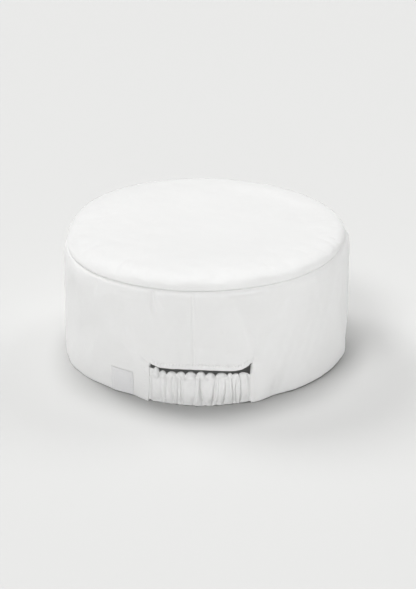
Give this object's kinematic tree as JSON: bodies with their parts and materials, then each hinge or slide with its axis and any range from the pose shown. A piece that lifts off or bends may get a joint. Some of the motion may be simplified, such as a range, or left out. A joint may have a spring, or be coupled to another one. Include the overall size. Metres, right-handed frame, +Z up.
{
  "type": "chef hat",
  "caption": "White flat-topped round chef cap with a stiffened side band, a round crown panel and a gathered elastic strap bridging a notch at the rear.",
  "frame": {"origin": "middle of the head opening, in the plane of the hem that the cap stands on", "axes": "+Z up through the crown, -Y towards the elasticated rear, +Y towards the forehead, +X towards the wearer's right"},
  "size_m": [0.188, 0.189, 0.0831],
  "materials": {
    "cap_cloth": "white woven polycotton, matt",
    "interlining": "off-white non-woven stiffener, matt",
    "thread": "white spun polyester thread",
    "elastic": "white braided elastic web",
    "woven_label": "pale grey woven label, slight sheen",
    "care_label": "white satin tape, slight sheen"
  },
  "bodies": {
    "root": {"crown_panel": "cap_cloth", "side_band": "cap_cloth", "band_interlining": "interlining", "crown_seam_allowance": "cap_cloth", "crown_seam_overlock": "thread", "crown_seam_stitch": "thread", "back_seam_stitch": "thread", "notch_topstitch": "thread", "strap_end_left": "cap_cloth", "strap_end_right": "cap_cloth", "strap_stitch_left": "thread", "strap_stitch_right": "thread", "woven_label": "woven_label", "label_stitch_left": "thread", "label_stitch_right": "thread"},
    "strap": {"strap_casing": "cap_cloth", "strap_elastic": "elastic"},
    "care_flap": {"care_label": "care_label"}
  },
  "joints": [
    {"name": "strap_stretch", "type": "slide", "parent": "root", "child": "strap", "axis": [0, -1, 0], "range_m": [0, 0.015], "stiffness_N_per_m": 150},
    {"name": "care_label_swing", "type": "hinge", "parent": "root", "child": "care_flap", "pos_m": [0.01353, -0.08543, 0.0656], "axis": [0.9877, 0.1564, 0], "range_deg": [-3, 75]}
  ]
}
